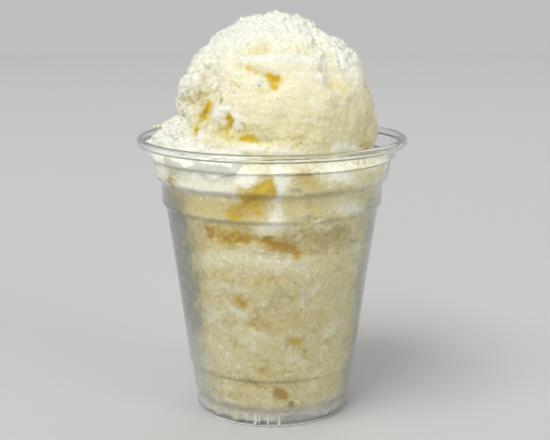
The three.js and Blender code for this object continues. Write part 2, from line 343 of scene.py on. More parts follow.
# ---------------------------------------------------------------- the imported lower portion
# Crumbly ice cream pressed into the lower two thirds of the cup. It is flattened on the wall at the
# front, with small air pockets, stands clear of it at the left and right, and ends in a ragged hem in
# the foot. Syrupy melt has gathered in its deeper pits.

GRAIN = 0.52             # fineness of the ice cream's mesh
INTO_WALL = 0.12         # how far what touches the wall reaches into the sheet

PACKED = (0.72, 0.66, 0.40, 1)       # body colour of the ice cream that is pressed on the wall
WHITE = (0.92, 0.92, 0.85, 1)        # frosted crests
STRAW = (0.70, 0.60, 0.29, 1)        # shallow hollows
AMBER = (0.74, 0.50, 0.020, 1)       # melt at the bottom of the clefts
JOINT = (0.90, 0.885, 0.79, 1)       # tint of the joints between its grains
PAINTED_SHADE = (0.50, 0.425, 0.27, 1)      # painted shade: tint of the hollows and the other places that the mark 'shade' darkens
ICY_GRAIN = 0.85                     # width of the icy grains that the material shows

# Each mark: the places it runs through, its half width, its rise, melt, frost and painted shade.
LOWER_MARKS = (
    (((-25.6, -27.2, 66.6), (-22, -30.4, 67.8), (-18.7, -32.7, 69.4)), 2.0, 0, 0.38, 0, 0.75),
    (((-18, -33, 70.4), (-13, -35, 71.0), (-1.3, -37.5, 71.0)), 2.2, 0, 0.8, 0, 0.7),
    (((-1.3, -37.5, 70.5), (5.7, -37.1, 68.4), (8, -36.8, 67.6)), 1.9, -0.3, 1.0, 0, 1.4),
    (((9, -36, 68.2), (16.3, -33.9, 68.4), (20.9, -31.1, 67.2)), 1.6, 0, 0.5, 0, 0.75),
    (((-22.4, -29.3, 63.6), (-15, -34.2, 66.2), (-7.4, -36.5, 65.8), (9.5, -35.5, 62.5)),
     2.6, 0.2, 0, 0.34, 0),
    (((-17, -31, 58.5), (-6, -34.5, 57.5), (3, -35, 58.0)), 1.8, -0.1, 0.20, 0, 0.35),
    (((-11.4, -32.6, 49.2), (-9.4, -33.0, 47.8)), 1.6, -0.3, 0.70, 0, 0.65),
    (((-19, -30.5, 48.6), (-15.5, -31.5, 50.0)), 1.3, -0.1, 0.30, 0, 0.25),
    (((-13.5, -32, 46.2), (-9.5, -33, 44.0), (-7.6, -33, 42.6)), 1.5, 0.2, 0, 0.50, 0),
    (((-21, -30, 46), (-18, -31, 43)), 1.5, 0.2, 0, 0.4, 0),
    (((-20, -28, 44), (-18, -28, 36), (-16, -28, 28)), 5.5, 0, 0, 0.20, 0),
    (((-18, -31, 53.5), (-10, -33.4, 53.0)), 1.2, 0.1, 0, 0.35, 0),
    (((-7.4, -32.9, 41.8), (-6.6, -33.0, 39.6)), 1.6, -0.2, 0.36, 0, 0.35),
    (((-16.5, -31, 41.4), (-14, -32, 40.4)), 1.2, -0.1, 0.2, 0, 0.3),
    (((-4, -34, 42.5), (3, -34, 41.6), (9, -33, 42.5), (17, -30, 42.8)), 2.4, -0.1, 0.22, 0, 0.28),
    (((-3, -34, 40.0), (1, -34, 38.5)), 1.8, -0.1, 0.20, 0, 0.3),
    (((-6, -34, 36), (4, -34, 37), (12, -32, 36)), 2.2, 0.1, 0, 0.22, 0),
    (((6.4, -32.4, 34.2), (8.8, -32, 33.2)), 1.6, -0.4, 0.75, 0, 0.6),
    (((11.2, -30.4, 29.4), (12.4, -29.8, 27.2)), 1.4, -0.2, 0.40, 0, 0.45),
    (((-4.2, -31.4, 23.6), (-2.6, -31.4, 22.4)), 2.2, -0.2, 0.42, 0, 0.4),
    (((-10, -30, 18.5), (0, -31, 17.5), (8, -30, 18.5)), 1.8, -0.1, 0.20, 0, 0.30),
    (((2.4, -29.6, 14.2), (3.4, -29.4, 12.8)), 1.6, -0.4, 0.75, 0, 2.0),
    (((6.6, -28.7, 9.6),), 1.2, -0.4, 0.50, 0, 1.8),
    (((4.4, -27.2, 2.0), (8, -26.2, 2.4), (12.0, -24.8, 2.4)), 1.9, -3.2, 0, 0, 0.3),
    (((-1.1, -28.2, 2.0),), 1.0, -2.4, 0, 0, 0.2),
    (((-4.4, -28.0, 1.6),), 0.9, -2.2, 0, 0, 0.2),
    (((15.4, -23.4, 2.0),), 1.1, -2.4, 0, 0, 0.2),
    (((-11.5, -25.6, 1.4),), 1.1, -2.2, 0, 0, 0.2),
    (((20, 26, 44),), 2.2, -0.8, 0.6, 0, 0.4),
    (((-16, 29, 55),), 2.2, -0.8, 0.6, 0, 0.4),
    (((4, 29.5, 24),), 2.0, -0.7, 0.6, 0, 0.4),
    (((-6, 33, 52), (4, 33.5, 50)), 2.4, -0.5, 0.5, 0, 0.4),
)
# Where it is pressed flat although it stands back: the places, the half width and how far it is moved.
LOWER_FILLED = (
    (((-27, -10, 4), (-20, -20, 4), (-10, -26, 3), (-3, -28, 3)), 4.0, 2.2),
    (((16, -24, 4), (22, -18, 4), (27, -9, 4)), 4.0, 2.2),
    (((-24, -20, 20), (-26.5, -21, 40), (-29, -22, 62)), 5.0, 2.6),
    (((24, -19, 20), (27.5, -19.5, 40), (30, -21, 62)), 5.0, 2.6),
)


def shuffled(cells):
    """A large whole number for each cell of a grid, without pattern but the same every time."""
    x, y, z = cells.T
    mixed = (x * 73856093) ^ (y * 19349663) ^ (z * 83492791)
    return (mixed ^ (mixed >> 13)) * 1274126177


def swirl(points, size, place):
    """Smooth unevenness between about -1 and 1, with swells a size apart; place picks the pattern."""
    spots = points / size + place
    cell = np.floor(spots).astype(np.int64)
    inside = spots - cell
    ease = inside ** 3 * (inside * (inside * 6 - 15) + 10)
    total = np.zeros(len(points))
    for corner in itertools.product((0, 1), repeat=3):
        mixed = shuffled(cell + corner)
        angle = ((mixed >> 8) & 1023) / 1023 * 2 * math.pi
        rise = ((mixed >> 20) & 1023) / 511.5 - 1
        flat = np.sqrt(np.maximum(0, 1 - rise ** 2))
        slope = np.stack((flat * np.cos(angle), flat * np.sin(angle), rise), 1)
        share = np.prod(np.where(corner, ease, 1 - ease), axis=1)
        total += share * np.sum(slope * (inside - corner), axis=1)
    return total * 1.5


def crumbs_on(points, size, place):
    """Rounded grains packed side by side, a size apart: 1 on a grain's crest and 0 in the joints."""
    spots = points / size + place
    cell = np.floor(spots).astype(np.int64)
    nearest = np.full(len(points), 9.0)
    for step in itertools.product((-1, 0, 1), repeat=3):
        mixed = shuffled(cell + step)
        jitter = np.stack([((mixed >> shift) & 255) / 255 for shift in (4, 14, 24)], 1)
        nearest = np.minimum(nearest, np.sum((cell + step + jitter - spots) ** 2, axis=1))
    return np.clip(1 - np.sqrt(nearest), 0, 1)


def wander(points, size, reach):
    """The points shifted unevenly, which makes the outline of a mark ragged."""
    return points + reach * np.stack([swirl(points, size, place) for place in (1.3, 5.7, 9.1)], 1)


def near(points, places, reach):
    """1 along the line through the places, falling to 0 a few reaches to either side of it. Depth as
    seen from the front, or at the back from behind, counts little, so a mark fills its hollow."""
    places = np.array(places, float)
    if len(places) == 1:
        places = places + np.array(((0, 0, 0), (0, 0, 0.01)))
    front = np.array((CAMERA_ASIDE, -CAMERA_OUT, CAMERA_UP))
    gap = np.full(len(points), np.inf)
    for start, end in zip(places, places[1:]):
        along = end - start
        share = np.clip((points - start) @ along / (along @ along), 0, 1)
        spot = start + share[:, None] * along
        out = np.where(spot[:, 1:2] < -8, front - spot, spot * (1, 1, 0))
        out /= np.linalg.norm(out, axis=1, keepdims=True)
        off = points - spot
        gap = np.minimum(gap, np.sum(off ** 2, axis=1) - 0.93 * np.sum(off * out, axis=1) ** 2)
    return np.exp(-gap / reach ** 2)


def marked(points, marks):
    """How far the marks together raise each point, and how much melt, frost and shade they put there."""
    ragged = wander(wander(points, 2.2, 0.9), 0.9, 0.3)
    sums = np.zeros((4, len(points)))
    for places, reach, *amounts in marks:
        sums[:len(amounts)] += np.outer(amounts, near(ragged, places, reach))
    return sums


def ramp(value, low, high):
    share = np.clip((value - low) / (high - low), 0, 1)
    return share * share * (3 - 2 * share)


def facing(points, azimuth, spread):
    """1 at an azimuth in degrees, falling to 0 at a number of degrees on either side."""
    turn = np.degrees(np.arctan2(points[:, 1], points[:, 0]))
    apart = np.abs((turn - azimuth + 180) % 360 - 180)
    return 1 - ramp(apart, 0, spread)


def fine_copy(node, name, material, soften=11):
    """A copy of a solid's form with a fine even mesh and its facets smoothed away."""
    piece = bpy.data.objects.new(name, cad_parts[node].data.copy())
    bpy.context.scene.collection.objects.link(piece)
    remesh = piece.modifiers.new("even", "REMESH")
    remesh.mode = "VOXEL"
    remesh.voxel_size = GRAIN * MM
    smooth = piece.modifiers.new("soft", "SMOOTH")
    smooth.factor = 0.5
    smooth.iterations = soften
    evaluated = piece.evaluated_get(bpy.context.evaluated_depsgraph_get())
    mesh = bpy.data.meshes.new_from_object(evaluated)
    piece.modifiers.clear()
    piece.data = mesh
    mesh.name = name
    mesh.materials.clear()
    mesh.materials.append(material)
    mesh.shade_smooth()
    return piece


def read_points(piece):
    """Places and outward directions of a piece's points, in millimetres."""
    points = piece.data.vertices
    places, ways = np.empty((2, len(points) * 3), np.float32)
    points.foreach_get("co", places)
    points.foreach_get("normal", ways)
    return places.reshape(-1, 3).astype(float) / MM, ways.reshape(-1, 3).astype(float)


def write_points(piece, points, **marks):
    """Puts the points back, each one with its marks."""
    piece.data.vertices.foreach_set("co", (points * MM).astype(np.float32).ravel())
    mark_points(piece, **marks)
    piece.data.update()


def ice_cream(name, body, straw=STRAW, bumpy=0.35, milky=0.5):
    """Ice cream: amber where the mark 'melt' is high, white where 'frost' is, khaki and dimmer with
    painted shade where 'shade' is, with a fine icy grain."""
    material, tree, shader = new_material(name)
    place = add_node(tree, "TexCoord").outputs["Object"]
    melt = mark(tree, "melt")
    blotch = add_node(tree, "TexNoise", Vector=place, Scale=230.0, Detail=5.0, Roughness=0.68)
    grains = add_node(tree, "TexVoronoi", Vector=place, Scale=1 / (ICY_GRAIN * MM)).outputs["Distance"]
    fine = add_node(tree, "TexNoise", Vector=place, Scale=1500.0, Detail=4.0, Roughness=0.7)

    uneven = add_node(tree, "Math", operation="MULTIPLY_ADD")
    tree.links.new(blotch.outputs["Fac"], uneven.inputs[0])
    uneven.inputs[1].default_value = 0.44
    tree.links.new(melt, uneven.inputs[2])
    colours = add_node(tree, "ValToRGB", Fac=uneven.outputs["Value"])
    steps = colours.color_ramp.elements
    steps[0].position, steps[0].color = 0.16, body
    steps[1].position, steps[1].color = 0.95, AMBER
    steps.new(0.50).color = straw
    colour = blend(tree, mark(tree, "frost"), colours.outputs["Color"], WHITE)
    colour = blend(tree, rescale(tree, grains, (0.25, 0.85)), colour, JOINT, "MULTIPLY")
    # Painted shade: the colour multiplied by a khaki tint where the mark 'shade' is high.
    colour = blend(tree, mark(tree, "shade"), colour, PAINTED_SHADE, "MULTIPLY")

    coarse_bump = add_node(tree, "Bump", invert=True, Height=grains, Strength=bumpy, Distance=0.0003)
    fine_bump = add_node(tree, "Bump", Height=fine.outputs["Fac"], Normal=coarse_bump.outputs["Normal"],
                         Strength=bumpy, Distance=0.0002)
    set_node(
        tree, shader,
        Base_Color=colour,
        Roughness=rescale(tree, melt, (0, 1), (0.62, 0.28)),
        Normal=fine_bump.outputs["Normal"],
        IOR=1.36,
        Subsurface_Weight=milky,
        Subsurface_Radius=(1.0, 0.95, 0.75),
        Subsurface_Scale=1.1 * MM,
    )
    return material


PACKED_CREAM = ice_cream("packed_ice_cream", PACKED, bumpy=0.2)


def against_wall(points, pockets, fill):
    """Points close inside the wall pressed a little way into it, apart from their air pockets. Those
    that stand back from it by as much as the fill are moved too."""
    radius = np.hypot(points[:, 0], points[:, 1])
    room = wall_inside(points[:, 2])
    touching = 1 - ramp(room - radius, fill, fill + 1.8)
    pressed = np.minimum(radius + fill + 0.5, room + INTO_WALL)
    wanted = radius + (pressed - radius) * touching
    wanted = np.minimum(wanted - pockets, room + INTO_WALL)
    side = ramp(radius, 12, 20)
    scale = 1 + (wanted / np.maximum(radius, 1e-6) - 1) * side
    out = points.copy()
    out[:, :2] *= scale[:, None]
    return out, touching * side


def pack(piece, marks, place, lowest, filled, seam):
    """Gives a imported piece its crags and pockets, presses it on the wall, harder where it is filled and
    at its seam with the other piece, and returns what it shows."""
    points, ways = read_points(piece)
    crags = 1.0 * swirl(points, 5.5, place) + 0.7 * swirl(points, 2.4, place + 5)
    grain = crumbs_on(points, 1.4, place + 2)
    fill = 1.3 + sum(more * near(points, places, reach) for places, reach, more in filled)
    rise, melt, frost, shade = marked(points, marks)
    soft = swirl(points, 3.0, place + 13) + 0.6 * swirl(points, 1.3, place + 9)
    smooth = np.clip((fill - 1.3) / 2, 0, 1)
    calm = np.clip(frost + smooth, 0, 1)
    fill = fill + 3.0 * (1 - ramp(np.abs(points[:, 2] - seam), 4, 8))
    ends = ramp(-ways[:, 2], 0.3, 0.7) * 0.9 + ramp(ways[:, 2], 0.5, 0.9) * 0.5 * (points[:, 2] < 80)
    rough = (0.7 * crags + 0.5 * (grain - 0.5)) * (1 - 0.6 * calm - 0.3 * smooth)
    points = points + ways * (rough + ends)[:, None]
    pockets = (0.16 * ramp(soft, 0.2, 0.9) + 0.12 * (1 - grain)) * (1 - 0.7 * calm)
    points, touching = against_wall(points, np.maximum(0, pockets - rise), fill)
    points[:, 2] = np.maximum(points[:, 2], lowest)
    melt = melt * (0.9 + 0.40 * swirl(points, 1.9, place + 31) + 0.35 * swirl(points, 0.9, place + 33))
    melt = melt + (0.20 * ramp(-crags, 0.3, 1.3) + 0.16 * ramp(soft, 0.2, 1.0)) * (1 - calm)
    patch = ramp(swirl(points, 6.0, place + 8) + 0.5 * swirl(points, 2.6, place + 18), 0.05, 0.7)
    fleck = ramp(swirl(points, 1.1, place + 3), 0.25, 0.6)
    veins = 1 - ramp(np.abs(swirl(points, 3.6, place + 41)), 0.0, 0.16)
    frost = frost + 0.40 * patch + 0.40 * fleck + 0.22 * veins + 0.25 * (grain - 0.4) - 1.2 * melt
    tan = ramp(swirl(points, 5.0, place + 51) + 0.7 * swirl(points, 2.2, place + 61), 0.1, 0.8)
    pores = ramp(swirl(points, 1.0, place + 71), 0.3, 0.7)
    uneven = 0.9 + 0.5 * swirl(points, 1.9, place + 81) + 0.4 * swirl(points, 0.9, place + 83)
    # The marks' painted shade, made uneven, with khaki patches and pores added.
    shade = 0.85 * (shade * uneven + (0.34 * tan + 0.22 * pores) * (1 - calm))
    return points, melt, frost, shade, touching


def dim_left(points):
    """1 at the left, where the ice cream turns away from the wall behind the mist and is given painted
    shade.
    """
    turn = np.degrees(np.arctan2(points[:, 1], points[:, 0])) + 5 * swirl(points, 4.0, 6.6)
    return (1 - ramp(turn, -152, -124)) * (turn < 0) * ramp(points[:, 2], 24, 42)


def hemmed(points):
    """The points near the floor drawn in under a ragged hem, which leaves small gaps in the foot."""
    radius = np.hypot(points[:, 0], points[:, 1])
    spot = points * (1, 1, 0) / radius[:, None] * 28
    lumps = facing(points, -36, 26) + 0.7 * facing(points, -128, 30)
    hem = 3.4 - 2.0 * lumps + 1.9 * swirl(spot, 3.4, 3.7) + 1.3 * swirl(spot, 1.5, 6.3)
    under = (1 - ramp(points[:, 2], hem - 0.4, hem + 0.5)) * ramp(radius, 21, 24)
    out = points.copy()
    out[:, :2] *= (1 - 2.4 * under / radius)[:, None]
    return out


def make_lower():
    piece = fine_copy("lower_scoop", "lower_ice_cream", PACKED_CREAM)
    points, melt, frost, shade, touching = pack(piece, LOWER_MARKS, 4.1, 1.9, LOWER_FILLED, 67)
    points = hemmed(points)
    foot = 1 - ramp(points[:, 2] + 2 * swirl(points, 3.0, 7.7), 5, 12)
    frost = frost + 0.45 * foot + 0.3 * (1 - touching)
    uneven = 0.75 + 0.7 * swirl(points, 2.4, 17.7)
    # Painted shade: darker towards the bottom, less so at the right, and darker at the left and in the
    # foot.
    dimmer = 0.30 * (1 - ramp(points[:, 2], 50, 66)) * (1 - 0.6 * facing(points, -45, 30))
    shade = shade * (1 - 0.6 * foot) + uneven * (0.6 * dim_left(points) + 0.3 * foot) + dimmer
    write_points(piece, points, melt=melt, frost=frost, shade=shade)
    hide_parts("lower_scoop")
    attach(piece, "root")
    return piece


LOWER = make_lower()


# ---------------------------------------------------------------- the imported middle portion
# The ice cream behind the neck of the cup: a pale block leans on the wall at the front left, with
# painted shade under it, and a deep hole and a slanting cleft beside it are wet with amber melt.

MIDDLE_MARKS = (
    (((-3.6, -42.0, 89.8), (-1.3, -42.7, 91.4), (-0.5, -42.3, 90.0)), 1.8, -0.7, 1.5, 0, 0.2),
    (((0.1, -42.6, 91.2), (0.5, -42.0, 89.4), (-0.8, -42, 88.6)), 0.9, -0.3, 1.0, 0, 1.0),
    (((-9.5, -41.1, 90.0), (-6.6, -41.4, 89.4)), 1.6, -0.1, 0.6, 0, 0.4),
    (((-5.6, -40.7, 87.5), (-7.3, -39.9, 85.9)), 2.0, -0.2, 0.75, 0, 0.4),
    (((-4.0, -40.3, 84.8), (-7.3, -39.7, 84.0), (-10.6, -38.7, 82.0)), 3.3, -0.1, 0.58, 0, 0.5),
    (((-12.3, -38.1, 81.0), (-12.0, -38.0, 79.6)), 1.2, -0.2, 0.9, 0, 0.3),
    (((-4.3, -39.9, 82.0),), 1.0, -0.2, 0.8, 0, 0.5),
    (((-11, -38.4, 79.5), (-5, -39.4, 79.6)), 1.8, -0.1, 0.35, 0, 0.1),
    (((-19.0, -33.2, 73.3), (-15.5, -34.9, 73.0), (-12.8, -36.0, 72.6), (-9.4, -37.0, 72.8)),
     2.6, -0.3, 0.95, 0, 1.4),
    (((-14, -35.5, 71.6), (-10, -36.5, 71.4)), 1.2, -0.3, 0.8, 0, 0.6),
    (((-20, -33, 75.0), (-13, -36, 75.4)), 1.4, -0.2, 0.35, 0, 0.4),
    (((-25, -28, 71), (-24, -29, 76)), 2.6, 0, 0.05, 0, 0.30),
    (((-25.6, -27.2, 66.6), (-22, -30.4, 67.8), (-18.7, -32.7, 69.4)), 2.0, -0.1, 0.38, 0, 0.75),
    # Painted light along the neck's slope at the left: whiter, with less painted shade.
    (((-31, -27, 87.4), (-20, -34.6, 87.2), (-10, -39.8, 87.2)), 2.0, 0, 0, 0.15, -0.4),
    # Painted light on the neck's slope at the right: less painted shade.
    (((18, -36.8, 90), (23, -34.5, 88)), 3.2, 0, 0.05, 0, -0.5),
    (((19, -33, 71), (27, -27, 70)), 3.0, 0, 0.05, 0, 0.35),
    (((-6.0, -37.6, 72.3), (-2.0, -38.0, 72.0)), 1.5, -0.3, 0.65, 0, 0.9),
    (((-0.7, -37.8, 70.9), (2.4, -37.7, 70.2), (6.5, -37.1, 68.8)), 2.0, -0.3, 1.1, 0, 1.5),
    (((9, -36.4, 69.0), (11.1, -36.0, 69.1), (16.3, -33.9, 69.0), (20.9, -31.1, 67.8)),
     1.8, -0.2, 0.50, 0, 0.85),
    (((-30, -29, 91), (-20, -36, 90), (-11, -40.5, 90.5)), 5.4, 0.5, 0, 0.45),
    (((-9.5, -41.5, 93.9), (-7.2, -42, 93.4)), 1.8, 0.5, 0, 1.0),
    # Painted shade under the pale block.
    (((-30, -27.5, 82.4), (-20, -34, 82.0), (-15, -37, 82.4)), 3.6, 0, 0.20, 0, 0.20),
    (((-28, -28, 77), (-20, -33, 77.4)), 2.2, 0.2, 0, 0.3, 0.1),
    (((3.5, -42.5, 94), (2.6, -41, 88), (1.9, -40.4, 84), (1.0, -39.2, 79), (-3.0, -39, 75.6)),
     2.5, 0.6, 0, 0.62),
    (((2, -38.8, 77), (7, -38, 75.2)), 2.2, 0.3, 0, 0.45),
    (((6.0, -39.9, 84.1), (12.7, -38.2, 82.7), (19.5, -34.9, 80.8)), 3.2, -0.1, 0.26, 0, 0.06),
    (((8, -41.5, 93), (14, -39, 92.6)), 3.0, 0, 0.1, 0, 0.2),
    (((11.1, -41.8, 94.5), (12.9, -40.4, 90.6)), 2.6, -0.1, 0.32, 0),
    (((18, -38, 87.5), (25, -34.6, 88.8)), 1.4, -0.1, 0.30, 0),
    (((20.9, -38, 94.2), (24, -36, 92.6)), 2.8, 0.3, 0, 0.75),
    (((19.5, -34.9, 80.8), (24.8, -31.4, 80.9), (28.0, -28.6, 81.0)), 1.9, 0.3, 0, 0.9),
    (((5, -37.5, 73.5), (16, -35, 72.8), (24, -30, 73.5)), 2.8, 0, 0.1, 0, 0.5),
    (((-33.4, -26.8, 92.4), (-33.0, -26.4, 88.8)), 1.8, -0.2, 0.5, 0, 1.0),
    (((-36, -20, 93), (-38, -12, 92)), 3.0, 0.2, 0, 0.6),
    (((16, 38, 84), (10, 39, 79)), 2.4, -0.2, 1.0, 0),
    (((-12, 38, 88), (-22, 33, 84)), 4.0, 0.4, 0, 0.6),
    (((-4, 37, 72), (10, 36.5, 70)), 2.4, -0.6, 0.9, 0, 0.4),
)
MIDDLE_FILLED = (
    (((-32, -26, 82.0), (-20, -34, 81.4), (-14, -37, 81.8)), 4.4, 3.4),
    (((-12, -40.2, 88.6), (-5.8, -41.4, 89.0)), 3.0, 4.5),
    (((14, -39, 88), (24, -35, 88), (33, -26, 88)), 3.0, 2.5),
    (((-5, -40.2, 83.8), (-10.6, -38.7, 81.5)), 2.8, 2.8),
    (((-14, -37.5, 77.6), (-6, -38.6, 77.4), (3, -39, 77.4)), 2.4, 2.4),
)


def make_middle():
    piece = fine_copy("middle_scoop", "middle_ice_cream", PACKED_CREAM, soften=18)
    points, melt, frost, shade, touching = pack(piece, MIDDLE_MARKS, 14.1, 0.0, MIDDLE_FILLED, 69)
    above = ramp(points[:, 2], 84, 90)
    # Whiter and with less painted shade towards the neck; painted shade at the left below it.
    frost = frost + 0.22 * above + 0.2 * ramp(points[:, 2], 91, 97) - 1.2 * melt
    shade = shade * (1 - 0.4 * above) + 0.6 * dim_left(points) * (1 - above)
    write_points(piece, points, melt=melt, frost=frost, shade=shade)
    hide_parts("middle_scoop")
    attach(piece, "root")
    return piece


MIDDLE = make_middle()


# ---------------------------------------------------------------- the tall scoop
# Scooped and set on top of the filled cup. The scoop dragged fine level lines round it, tore it
# open at the front and left, where amber melt shows, and left it frosted and ragged on top.

SCOOPED = (0.88, 0.835, 0.62, 1)
LEMON = (0.80, 0.72, 0.36, 1)
TOP_MARKS = (
    (((-8, -29, 128.6), (-5.4, -30.4, 127.2), (-2, -31.6, 125.9), (1.0, -32.8, 125.0)),
     0.9, -1.1, 1.3, 0, 0.1),
    (((-0.4, -33, 125.2), (1.4, -33.3, 124.8), (0.8, -33.6, 123.3)), 1.5, -1.0, 1.6, 0, 0),
    (((0.4, -33.8, 122.6), (-2.6, -34.5, 121.3)), 1.0, -0.6, 0.45, 0, 0.1),
    (((-5, -31.9, 124.4), (-1.5, -33, 123.0)), 1.2, 0.6, 0, 0.6),
    (((-16.5, -28.6, 124.4), (-13.3, -30.7, 123.5), (-9.9, -32.4, 122.7)), 0.9, -0.6, 0.36, 0, 0.1),
    (((-11.4, -25.5, 130.7), (-3.3, -27.4, 131.5), (4.3, -27.6, 131.5), (11, -26.7, 130.8),
      (17.8, -24.7, 129.3)), 1.1, 0.6, 0, 0.75),
    (((-6.7, -24.9, 133.3), (-2.3, -24.4, 134.9)), 2.6, -0.2, 0.34, 0),
    (((4.3, -25.4, 133.6), (12.8, -22.4, 134.5)), 2.2, -0.2, 0.20, 0),
    (((-12.1, -25.2, 130.7), (-10.7, -27.6, 128.6)), 1.4, -0.4, 0.34, 0),
    (((-22.8, -20.7, 124.9), (-22.4, -22.7, 122.4), (-22.0, -24.6, 119.6)), 1.4, -1.0, 0.20, 0, 0.40),
    (((-21.4, -26.1, 116.0), (-21.9, -26.2, 113.6), (-23.4, -25.3, 111.6)), 1.5, -1.0, 1.6, 0, 0.1),
    (((-23.7, -25.3, 111.2), (-25.4, -24.2, 108.4), (-26.3, -23.9, 105.5), (-26.7, -24.1, 102.8)),
     1.2, -0.8, 0.75, 0, 0),
    (((-19.1, -27.3, 119.4), (-17.2, -28.9, 117.5)), 0.9, -0.6, 0.55, 0, 0.65),
    (((-19.5, -25.1, 123.0), (-19.0, -26.5, 120.8)), 1.2, 0.8, 0, 1.0),
    (((-19.4, -28.2, 114.5), (-17.7, -29.6, 113.9), (-15.3, -30.9, 114.5)), 1.8, 1.0, 0, 1.3),
    (((-19.8, -28.3, 111.8), (-22.1, -27.0, 109.2), (-23.9, -26.0, 106.6), (-25.0, -25.4, 103.8)),
     1.5, 1.0, 0, 1.2),
    (((-18.5, -30, 110.6), (-17.5, -30.6, 109.0)), 1.2, -0.2, 0.15, 0, 0.35),
    (((-14.3, -31.8, 112.2), (-13.8, -32.5, 110.1), (-14.7, -32.4, 108.0)), 0.9, -0.8, 0.95, 0, 0.3),
    (((-11.3, -33.2, 111.5), (-10.8, -33.9, 109.4)), 1.2, 0.8, 0, 1.0),
    (((-9.6, -34.0, 110.3), (-8.3, -34.8, 108.0)), 0.9, -0.3, 0.45, 0, 0.2),
    (((-18.1, -30.7, 106.8), (-14.3, -33.0, 105.6)), 1.3, -0.5, 0.36, 0, 0.30),
    (((-12.6, -34, 106.2), (-8.9, -35.0, 105.6)), 0.9, -0.5, 0.55, 0, 0.2),
    (((-8.9, -35.0, 105.6), (-6.6, -35.7, 105.2), (-4.3, -36.2, 104.6)), 1.1, -0.9, 1.2, 0, 0.1),
    (((-1, -38, 105.2), (4.3, -37.8, 105.5), (12, -36.5, 105.8)), 0.9, -0.3, 0.24, 0),
    (((-11.3, -34.9, 101), (-7.3, -35.9, 102.8), (-3.3, -36.7, 102.3)), 1.7, 0.9, 0, 0.95),
    (((-24, -27, 100.6), (-16, -33, 101.4)), 1.8, 0.6, 0, 0.9),
    (((1, -37.1, 101.4), (9.3, -36.3, 100.9)), 1.3, 0.5, 0, 0.85),
    (((21.1, -31.2, 101.8), (24.7, -28.7, 102.1), (28.3, -25.5, 100.9)), 1.5, 0.6, 0, 0.9),
    (((32.1, -20.7, 100.9), (35, -15.9, 100.2)), 1.5, -0.6, 0.50, 0, 0.2),
    (((8.3, -36.2, 102.6),), 0.8, -0.3, 0.7, 0),
    (((14.3, -34.2, 104.6),), 0.8, -0.2, 0.45, 0),
    (((18.8, -16.6, 135.5), (20.4, -19.6, 132), (20.9, -22.9, 128.5)), 2.0, 0.4, 0.20, 0, 0.1),
    (((18.8, -25.7, 126.4), (16.7, -27.8, 124.9)), 1.4, 0.3, 0, 0.8),
    (((21.2, -26, 122.7), (24, -24.4, 121.2)), 1.8, -0.4, 0.24, 0, 0.1),
    (((23.5, -13.4, 133.9), (27, -16, 129)), 4.5, 0.4, 0, 0.7),
    (((-30.3, -12.5, 119.4), (-28.5, -13.3, 122.9)), 2.4, 0.7, 0, 0.5),
    (((-30.7, -13.2, 117.0), (-27.5, -19.4, 116.6), (-25.0, -20.8, 119.0)), 2.4, -0.3, 0.14, 0, 0.42),
    (((-25.0, -21.5, 118.6), (-24.2, -23.6, 115.6)), 1.9, -0.3, 0.12, 0, 0.40),
    (((-30, -14, 121.5), (-28.6, -17, 119.5)), 2.0, 0, 0.04, 0, 0.12),
    # Broad painted shade over the lower front and the right of the scoop.
    (((2, -36.5, 111), (20, -31, 110), (30, -22, 111)), 8.0, 0, 0.05, 0, 0.16),
    (((22, -28, 104), (33, -18, 107), (36.5, -8, 112)), 5.0, 0, 0.04, 0, 0.14),
    (((8, 27, 131), (15, 30, 122), (12, 34, 112)), 1.6, -1.0, 1.0, 0),
    (((-4, 31, 124), (-2, 34, 116)), 1.3, -0.8, 0.6, 0),
)


